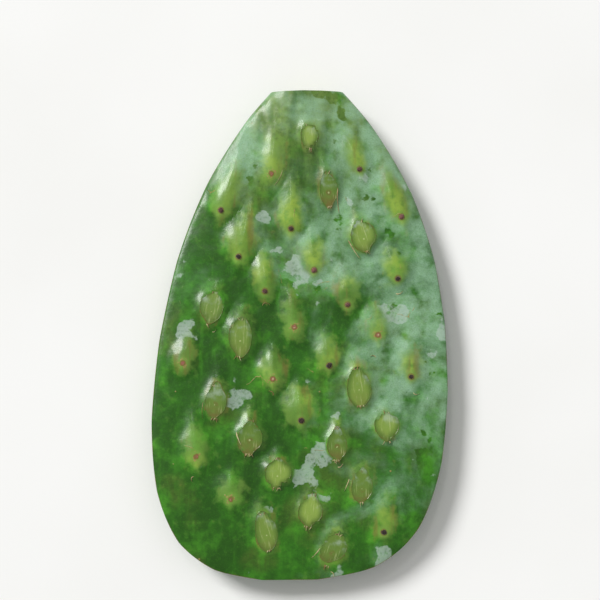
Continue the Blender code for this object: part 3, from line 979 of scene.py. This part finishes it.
def bloom_left(tree, place, marks, amount):
    """Where the powdery wax still lies: thin and cloudy, thicker to one side, with a few rubbed spots."""
    side = add_node(tree, "VectorMath", (place, BLOOM_SIDE), operation="DOT_PRODUCT", output="Value")
    drift = add_node(tree, "MapRange", (side, -60.0, 80.0, -0.24, 0.18))
    cloud = {"Vector": place, "Scale": 1.0 / 34.0, "Detail": 6.0, "Roughness": 0.55, "Distortion": 0.4}
    cloud = add_node(tree, "Math", (add_node(tree, "TexNoise", cloud), drift), operation="ADD")
    film = between(tree, cloud, 0.52 - 0.2 * amount, 0.82 - 0.2 * amount)
    worn = patches(tree, place, 8.0, 0.24, 0.60, 6.0)
    # The wax's powder is drawn coarser than it is, so that it shows.
    powder = patches(tree, place, 0.7, -0.30, 0.70, 3.0)
    rubbed_off = patches(tree, place, 14.0, 0.675, 0.645, 4.0, 0.1)
    return all_of(tree, film, worn, powder, rubbed_off, between(tree, marks["mound"], 2.4, 0.5))


def cork_marks(tree, place):
    """Corky specks, and a few fine dry scratches."""
    draw = add_node(tree, "TexVoronoi", {"Vector": place, "Scale": 1.0 / 12.0}, output="Color")
    chosen = add_node(tree, "SeparateColor", (draw,), output="Red")
    speck = all_of(tree, dots(tree, place, 12.0, 0.050, 0.028), between(tree, chosen, 0.55, 0.60))
    waver = add_node(tree, "TexNoise", {"Vector": place, "Scale": 1.0 / 20.0, "Detail": 3.0}, output="Color")
    waver = add_node(tree, "VectorMath", {0: waver, "Scale": 16.0}, operation="SCALE")
    wavering = add_node(tree, "VectorMath", (place, waver), operation="ADD")
    cracks = {"Vector": wavering, "Scale": 1.0 / 42.0}
    crack = add_node(tree, "TexVoronoi", cracks, feature="DISTANCE_TO_EDGE")
    broken = all_of(tree, patches(tree, place, 16.0, 0.63, 0.67), patches(tree, place, 1.5, 0.30, 0.55))
    return any_of(tree, speck, all_of(tree, between(tree, crack, 0.0060, 0.0015), broken))


def paint_areoles(tree, skin, place, marks, colours):
    """The pale halo round each areole, and the scab and tan flecks where one was scraped off."""
    away, state = marks["areole"], marks["state"]
    off_centre = add_node(tree, "Math", (state, STATE["scraped"]), operation="SUBTRACT")
    scraped = line_at(tree, off_centre, 0.2)
    return paint(
        tree, skin,
        (colours.tubercle_green, between(tree, away, 4.5, 1.2), between(tree, state, 0.2, 0.5), 0.7),
        (colours.cork, scraped, between(tree, away, 3.4, 1.8), patches(tree, place, 1.3, 0.52, 0.60)),
        (colours.bruise, scraped, between(tree, away, 2.0, 1.2)),
        (colours.scab, scraped, between(tree, away, 1.3, 0.8)),
        (colours.vein, scraped, between(tree, away, 0.8, 0.4), patches(tree, place, 0.9, 0.40, 0.60), 0.7),
        (colours.bruise, between(tree, state, 0.8, 0.95), between(tree, away, 2.3, 1.3), 0.8),
    )


def paint_flesh(tree, place, marks, colours):
    """Shaved flesh: yellow-green and moist in the middle, olive outside, browning where the knife left."""
    along, tone = marks["along"], marks["tone"]
    fibres = add_node(tree, "CombineXYZ", (marks["across"], along, tone))
    fibres = add_node(tree, "Mapping", {"Vector": fibres, "Scale": (1.0, 0.14, 1.0)})
    older = add_node(tree, "MapRange", (tone, 0.50, 0.80, 0.35, 1.0))
    browned = all_of(tree, between(tree, along, 0.0, 8.0), patches(tree, place, 4.0, 0.30, 0.60, 4.0))
    filmed = all_of(tree, between(tree, along, 0.5, -5.0), patches(tree, place, 5.0, 0.46, 0.70, 4.0))
    shallow = all_of(tree, between(tree, tone, 0.35, 0.60), patches(tree, place, 2.5, 0.35, 0.60))
    flesh = paint(
        tree, colours.flesh,
        (colours.flesh_edge, between(tree, marks["edge"], -4.0, -0.3)),
        (colours.flesh_edge, between(tree, tone, -0.15, 0.65), 0.8),
        (colours.browned_flesh, browned, older, 0.85),
        (colours.vein, patches(tree, fibres, 1.0, 0.56, 0.80, 4.0), 0.35),
        (colours.dried_sap, filmed, 0.4),
        (colours.browned_flesh, shallow, between(tree, marks["areole"], 2.2, 0.9), 0.8),
        (colours.vein, between(tree, marks["areole"], 0.70, 0.35), 0.45),
    )
    return flesh, fibres


def paint_base(tree, place, marks, colours):
    """The sliced base: a green rind round paler flesh, dotted with the ends of its veins."""
    depth = marks["base"]
    across, height = (add_node(tree, "SeparateXYZ", (place,), output=axis) for axis in "XZ")
    section = add_node(tree, "CombineXYZ", (across, height, 0.0))
    veins = dots(tree, section, 4.2, 0.22, 0.12, randomness=0.7)
    dried = all_of(tree, between(tree, depth, -0.6, -1.4), patches(tree, place, 6.0, 0.44, 0.70, 5.0))
    return paint(
        tree, colours.cut_flesh,
        (colours.flesh_edge, between(tree, depth, -2.4, -1.0)),
        (colours.leaf_green, between(tree, depth, -1.1, -0.3)),
        (colours.cork, dried, 0.6),
        (colours.vein, veins, between(tree, depth, -1.8, -2.3), 0.8),
    )


def paint_trimmed(tree, skin, place, marks, colours):
    """The margin's knife cuts: moist flesh with a browned line where the skin ends."""
    along_rim = add_node(tree, "Mapping", {"Vector": place, "Scale": (0.2, 0.2, 1.6)})
    band = between(tree, marks["rim"], -0.02, -0.12)
    trimmed = paint(
        tree, colours.cut_flesh,
        (colours.flesh_edge, patches(tree, along_rim, 2.2, 0.35, 0.75, 3.0), 0.7),
        (colours.browned_flesh, patches(tree, place, 12.0, 0.54, 0.72, 5.0), 0.35),
    )
    line = all_of(tree, line_at(tree, marks["rim"], 0.35), patches(tree, place, 6.0, 0.38, 0.62))
    return paint(tree, skin, (trimmed, band), (colours.browned_flesh, line, 0.8)), band, along_rim


def waxy_epidermis(settings):
    """Fresh cactus epidermis, a thick waxy cuticle over leaf-green flesh, peeled and trimmed with a knife.

    The eye sees a satin, slightly moist skin, dulled and whitened where its powdery bloom is left, and
    wetter, yellower flesh in each scar and round the trimmed margin.
    """
    material, tree, shader, place = new_material(
        "waxy_epidermis", IOR=1.37, Coat_Weight=0.12, Coat_Roughness=0.12, Subsurface_Weight=0.10,
        Subsurface_Radius=(0.9, 1.0, 0.4), Subsurface_Scale=1.6 * MM,
    )
    marks = skin_marks(tree)
    streaked = add_node(tree, "Mapping", {"Vector": place, "Scale": (1.0, 0.16, 1.0)})
    skin = paint_greens(tree, place, streaked, marks, settings)
    skin = paint_tubercles(tree, skin, place, streaked, marks, settings)
    bloom = bloom_left(tree, place, marks, settings.bloom_amount)
    flakes = patches(tree, place, 22.0, 0.640, 0.660, 6.0, 0.1)
    valleys = between(tree, marks["mound"], 1.4, 0.6)
    sap = all_of(tree, flakes, valleys, patches(tree, place, 1.6, 0.05, 0.55))
    skin = paint(tree, skin, (settings.bloom, bloom, 0.85), (settings.dried_sap, sap, 0.55))
    skin = paint_areoles(tree, skin, place, marks, settings)

    cork = cork_marks(tree, place)
    scar = between(tree, marks["edge"], 0.10, -0.10)
    flesh, fibres = paint_flesh(tree, place, marks, settings)
    dry_line = all_of(tree, line_at(tree, marks["edge"], 0.40), patches(tree, place, 3.0, 0.42, 0.62))
    skin = paint(
        tree, skin, (settings.cork, cork, 0.8), (flesh, scar), (settings.browned_flesh, dry_line, 0.85)
    )
    skin, band, along_rim = paint_trimmed(tree, skin, place, marks, settings)
    sliced = between(tree, marks["base"], -0.02, -0.12)
    skin = paint(tree, skin, (paint_base(tree, place, marks, settings), sliced))

    powder = any_of(tree, bloom, sap)
    rough = add_node(tree, "MapRange", (powder, 0.0, 0.8, settings.wax_roughness, settings.bloom_roughness))
    rough = add_node(tree, "Mix", (any_of(tree, scar, band, sliced), rough, settings.flesh_roughness))
    rough = add_node(tree, "Mix", (cork, rough, CORK_ROUGHNESS))

    heights = [all_of(tree, line_at(tree, marks["edge"], 0.5), 0.12), all_of(tree, cork, 0.10)]
    # Each grain's place, size, detail, depth in millimetres, and where it shows.
    grains = (
        (place, 0.9, 2.0, 0.04, 1.0),
        (place, 4.5, 3.0, 0.12, 1.0),
        (fibres, 1.0, 3.0, 0.10, scar),
        (along_rim, 1.0 / 0.7, 3.0, 0.12, band),
    )
    for where, size, detail, depth, mask in grains:
        grain = add_node(tree, "TexNoise", {"Vector": where, "Scale": 1.0 / size, "Detail": detail})
        heights.append(all_of(tree, grain, depth, mask))
    finish_shader(tree, shader, skin, rough, folded(tree, "ADD", heights))
    return material


def areole_felt(settings):
    """Matted areole wool and stiff barbed bristles: dry, dull and dark, some of it faded to a dusty plum."""
    material, tree, shader, place = new_material("areole_felt", Sheen_Weight=0.35, Sheen_Roughness=0.5)
    tone = add_node(tree, "Attribute", output="Fac", attribute_name="tone")
    felt = paint(
        tree, settings.dark_felt,
        (settings.faded_felt, between(tree, tone, 0.50, 0.90)),
        (settings.faded_felt, patches(tree, place, 0.6, 0.55, 0.75)),
        (settings.bristle, between(tree, tone, -0.2, -0.6)),
    )
    # The grain is drawn coarser than the wool's single hairs, so that it shows.
    finish_grainy(tree, shader, place, felt, 0.25, 3.0, (0.80, 1.0), 0.15)
    return material


def dried_peel(settings):
    """Papery strips of cactus skin, dried since the knife lifted them: tan and fibrous, faintly satin."""
    material, tree, shader, place = new_material(
        "dried_peel", Subsurface_Weight=0.08, Subsurface_Scale=0.5 * MM
    )
    tone = add_node(tree, "Attribute", output="Fac", attribute_name="tone")
    peel = paint(
        tree, settings.pale_peel,
        (settings.brown_peel, between(tree, tone, 0.45, 1.0)),
        (settings.brown_peel, patches(tree, place, 1.8, 0.50, 0.70, 4.0)),
    )
    finish_grainy(tree, shader, place, peel, 0.35, 3.0, (0.45, 0.70), 0.08)
    return material


def matt_board(settings):
    """Pale matt-painted board for the studio floor: even and dull, so that only the soft shadow shows."""
    material, tree, shader, place = new_material("matt_board")
    clouded = (settings.clouded_floor, patches(tree, place, 160.0, 0.35, 0.75))
    board = paint(tree, settings.floor_colour, clouded)
    finish_grainy(tree, shader, place, board, 1.5, 2.0, (0.75, 0.85), 0.02)
    return material


def colour_property(name, hex_colour, description):
    """A colour setting with its default given in sRGB."""
    return FloatVectorProperty(
        name=name, description=description, default=linear(hex_colour), size=4, min=0.0, max=1.0,
        subtype="COLOR"
    )


def number_property(name, default, description, low=0.0, **more):
    """A number setting. Its lower limit is 0 unless another is given."""
    return FloatProperty(name=name, description=description, default=default, min=low, **more)


def share_property(name, default, description):
    """A setting between 0 and 1."""
    return number_property(name, default, description, max=1.0, subtype="FACTOR")


class SkinSettings(bpy.types.PropertyGroup):
    """Colours and finish of the pad's skin and flesh."""

    deep_green: colour_property("Deep green", "#204D08", "Darkest leaf green of the skin")
    leaf_green: colour_property("Leaf green", "#2E6F10", "Main green of the skin")
    young_green: colour_property("Young green", "#4D9C22", "Lighter green in clouds and streaks")
    olive_green: colour_property("Olive green", "#546C26", "Duller green in broad clouds")
    neck_green: colour_property("Neck green", "#86A052", "Paler green towards the cut base")
    tubercle_green: colour_property("Tubercle green", "#7CA246", "Yellow-green on the tubercles")
    ripe_green: colour_property("Ripe green", "#94B144", "Limy green on the ripest tubercles")
    bruise: colour_property("Bruise", "#7A6A33", "Olive-brown bruises, and the skin round each areole")
    scab: colour_property("Scab", "#93604E", "Dry scab where an areole was scraped off")
    bloom: colour_property("Bloom", "#92BA97", "Powdery blue-green wax")
    dried_sap: colour_property("Dried sap", "#B4C6BA", "Greyish film of dried sap")
    cork: colour_property("Cork", "#A08A55", "Specks and scratches healed with cork")
    flesh: colour_property("Flesh", "#8EA94C", "Moist flesh in the middle of a scar")
    flesh_edge: colour_property("Flesh edge", "#54742A", "Greener flesh towards a scar's edge")
    browned_flesh: colour_property("Browned flesh", "#6E6230", "Flesh and skin edges browned in air")
    vein: colour_property("Vein", "#D6DCA0", "Cut veins")
    cut_flesh: colour_property("Cut flesh", "#A3B072", "Flesh of the trimmed margin and the base")
    bloom_amount: share_property("Bloom amount", 0.5, "How much of the bloom is left")
    wax_roughness: share_property("Wax roughness", 0.30, "Roughness of rubbed skin")
    bloom_roughness: share_property("Bloom roughness", 0.60, "Roughness of the bloom")
    flesh_roughness: share_property("Flesh roughness", 0.28, "Roughness of cut flesh")


class TuftSettings(bpy.types.PropertyGroup):
    """Sizes and colours of the areoles' felt and bristles."""

    felt_width: number_property("Felt width", 2.7, "Width of a felt cushion, in mm", 1.0, max=5.0)
    bristle_count: IntProperty(
        name="Bristles", description="Bristles in each areole", default=20, min=0, max=60
    )
    bristle_length: number_property(
        "Bristle length", 1.7, "Length of the longest bristle, in mm", 0.5, max=4.0
    )
    seed: IntProperty(name="Seed", description="Draw of the felt's and bristles' shapes", default=7, min=0)
    dark_felt: colour_property("Dark felt", "#251A0E", "Felt that is still fresh")
    faded_felt: colour_property("Faded felt", "#84564E", "Felt that has dried and faded")
    bristle: colour_property("Bristle", "#6A4526", "Bristles")


class ShredSettings(bpy.types.PropertyGroup):
    """Number and colours of the strips of peel."""

    peel_share: share_property("Peel share", 0.35, "Share of scars with a hanging strip")
    scrap_share: share_property("Scrap share", 0.2, "Share of areoles with a curled scrap")
    seed: IntProperty(name="Seed", description="Draw of the strips' places and shapes", default=11, min=0)
    pale_peel: colour_property("Pale peel", "#B7AE80", "Freshly dried peel")
    brown_peel: colour_property("Brown peel", "#87693C", "Peel that has browned")


class StudioSettings(bpy.types.PropertyGroup):
    """The floor, the soft light and the camera."""

    floor_size: number_property("Floor size", 12.0, "Side of the floor", 0.5, unit="LENGTH")
    floor_colour: colour_property("Floor", "#F6F6F4", "Colour of the floor")
    clouded_floor: colour_property("Clouded floor", "#F2F2EF", "Colour of the floor's faint clouds")
    key_strength: number_property("Key strength", 2.75, "Strength of the main light")
    key_softness: number_property(
        "Key softness", math.radians(20.0), "How wide the main light is", subtype="ANGLE"
    )
    glint_power: number_property("Glint power", 0.8, "Power of the overhead light", unit="POWER")
    sky_strength: number_property("Sky strength", 0.42, "Even light from all round")
    backdrop_strength: number_property("Backdrop", 0.95, "Brightness behind the floor")
    focal_length: number_property("Focal length", 85.0, "Lens in mm", 20.0, max=300.0)
    distance: number_property("Distance", 0.725, "From the lens to the pad", 0.2, unit="LENGTH")
    elevation: number_property(
        "Elevation", math.radians(82.0), "Height of the camera above the horizon",
        max=math.radians(89.9), subtype="ANGLE",
    )


def add_object(name, data):
    """Adds an object with this data to the scene."""
    thing = bpy.data.objects.new(name, data)
    bpy.context.scene.collection.objects.link(thing)
    return thing


def place_piece(name, mesh, material, sharp_angle=None):
    """Makes an object of a finished mesh that lies in place, and joins it to the model."""
    data = bpy.data.meshes.new(name)
    mesh.to_mesh(data)
    mesh.free()
    data.shade_smooth()
    if sharp_angle is not None:
        data.set_sharp_from_angle(angle=sharp_angle)
    data.materials.append(material)
    return add_object(name, data)


class PAD_OT_skin(bpy.types.Operator):
    """Model the pad's skin with its tubercles, scars, trimmed margin and sliced base"""

    bl_idname = "pad.skin"
    bl_label = "Pad Skin"

    def execute(self, context):
        mesh, seat = build_skin()
        piece = place_piece(SKIN, mesh, waxy_epidermis(context.scene.pad_skin), SHARP_EDGE)
        piece["seat"] = [value for row in seat for value in row]
        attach(piece, "root")
        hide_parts("pad")
        return {"FINISHED"}


class PAD_OT_tufts(bpy.types.Operator):
    """Model the felt and bristles of the areoles that are still whole"""

    bl_idname = "pad.tufts"
    bl_label = "Areole Tufts"

    def execute(self, context):
        settings = context.scene.pad_tufts
        piece = place_piece(TUFTS, build_tufts(settings), areole_felt(settings))
        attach(piece, "root")
        return {"FINISHED"}


class PAD_OT_shreds(bpy.types.Operator):
    """Model the torn fringes, hanging strips and curled scraps of peel"""

    bl_idname = "pad.shreds"
    bl_label = "Peel Shreds"

    def execute(self, context):
        settings = context.scene.pad_shreds
        piece = place_piece(SHREDS, build_shreds(settings), dried_peel(settings))
        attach(piece, "root")
        return {"FINISHED"}


def look_along(thing, direction):
    """Turns a light or the camera to look along a direction."""
    thing.rotation_euler = direction.to_track_quat("-Z", "Y").to_euler()


def add_light(kind, name, place, energy, **shape):
    """Adds a light that shines from a place at the middle of the pad."""
    light = add_object(name, bpy.data.lights.new(name, kind))
    light.data.energy = energy
    for setting, value in shape.items():
        setattr(light.data, setting, value)
    light.location = place
    look_along(light, -light.location)


def soft_sky(strength, backdrop):
    """Even light from all round, with a brighter backdrop behind the floor."""
    world = bpy.data.worlds.new("soft_sky")
    world.use_nodes = True
    tree = world.node_tree
    seen = add_node(tree, "LightPath", output="Is Camera Ray")
    strength = add_node(tree, "MapRange", (seen, 0.0, 1.0, strength, backdrop))
    tree.nodes["Background"].inputs["Color"].default_value = linear("#FFFFFF")
    tree.links.new(strength, tree.nodes["Background"].inputs["Strength"])
    return world


class PAD_OT_studio(bpy.types.Operator):
    """Set up the pale floor, the soft light and the camera that looks down on the pad"""

    bl_idname = "pad.studio"
    bl_label = "Studio"

    def execute(self, context):
        settings = context.scene.pad_studio
        mesh = bmesh.new()
        bmesh.ops.create_grid(mesh, x_segments=1, y_segments=1, size=settings.floor_size / 2.0)
        floor = place_piece("studio_floor", mesh, matt_board(settings))

        add_light("SUN", "key_light", KEY_PLACE, settings.key_strength, angle=settings.key_softness)
        add_light("AREA", "glint_light", GLINT_PLACE, settings.glint_power, size=GLINT_SIZE)
        context.scene.world = soft_sky(settings.sky_strength, settings.backdrop_strength)

        camera = add_object("camera", bpy.data.cameras.new("camera"))
        camera.data.lens = settings.focal_length
        back = Vector((0.0, -math.cos(settings.elevation), math.sin(settings.elevation)))
        middle = (CAD_BOX[0] + CAD_BOX[1]) / 2.0 + Vector(VIEW_SHIFT)
        camera.location = middle + back * settings.distance
        look_along(camera, -back)
        context.scene.camera = camera
        context.scene.view_settings.view_transform = "Standard"
        return {"FINISHED"}


class PAD_PT_panel(bpy.types.Panel):
    """Sidebar panel with the pad's pieces and their settings."""

    bl_idname = "PAD_PT_panel"
    bl_label = "Prickly Pear Pad"
    bl_space_type = "VIEW_3D"
    bl_region_type = "UI"
    bl_category = "Pad"

    def draw(self, context):
        for operator, settings, _ in PIECES:
            box = self.layout.box()
            box.operator(operator.bl_idname)
            group = getattr(context.scene, settings)
            for name in group.bl_rna.properties.keys():
                if name not in ("rna_type", "name"):
                    box.prop(group, name)


# Each operator, with the name and the kind of its settings.
PIECES = (
    (PAD_OT_skin, "pad_skin", SkinSettings),
    (PAD_OT_tufts, "pad_tufts", TuftSettings),
    (PAD_OT_shreds, "pad_shreds", ShredSettings),
    (PAD_OT_studio, "pad_studio", StudioSettings),
)
CLASSES = (*(group for _, _, group in PIECES), *(operator for operator, _, _ in PIECES), PAD_PT_panel)


def register():
    """Makes the settings, operators and panel known to Blender."""
    for each in CLASSES:
        bpy.utils.register_class(each)
    for _, name, group in PIECES:
        setattr(bpy.types.Scene, name, PointerProperty(type=group))


def unregister():
    """Takes them away again."""
    for _, name, _ in PIECES:
        delattr(bpy.types.Scene, name)
    for each in reversed(CLASSES):
        bpy.utils.unregister_class(each)


def main():
    """Builds the whole scene."""
    register()
    bpy.ops.pad.skin()
    bpy.ops.pad.tufts()
    bpy.ops.pad.shreds()
    bpy.ops.pad.studio()


if __name__ == "__main__":
    main()
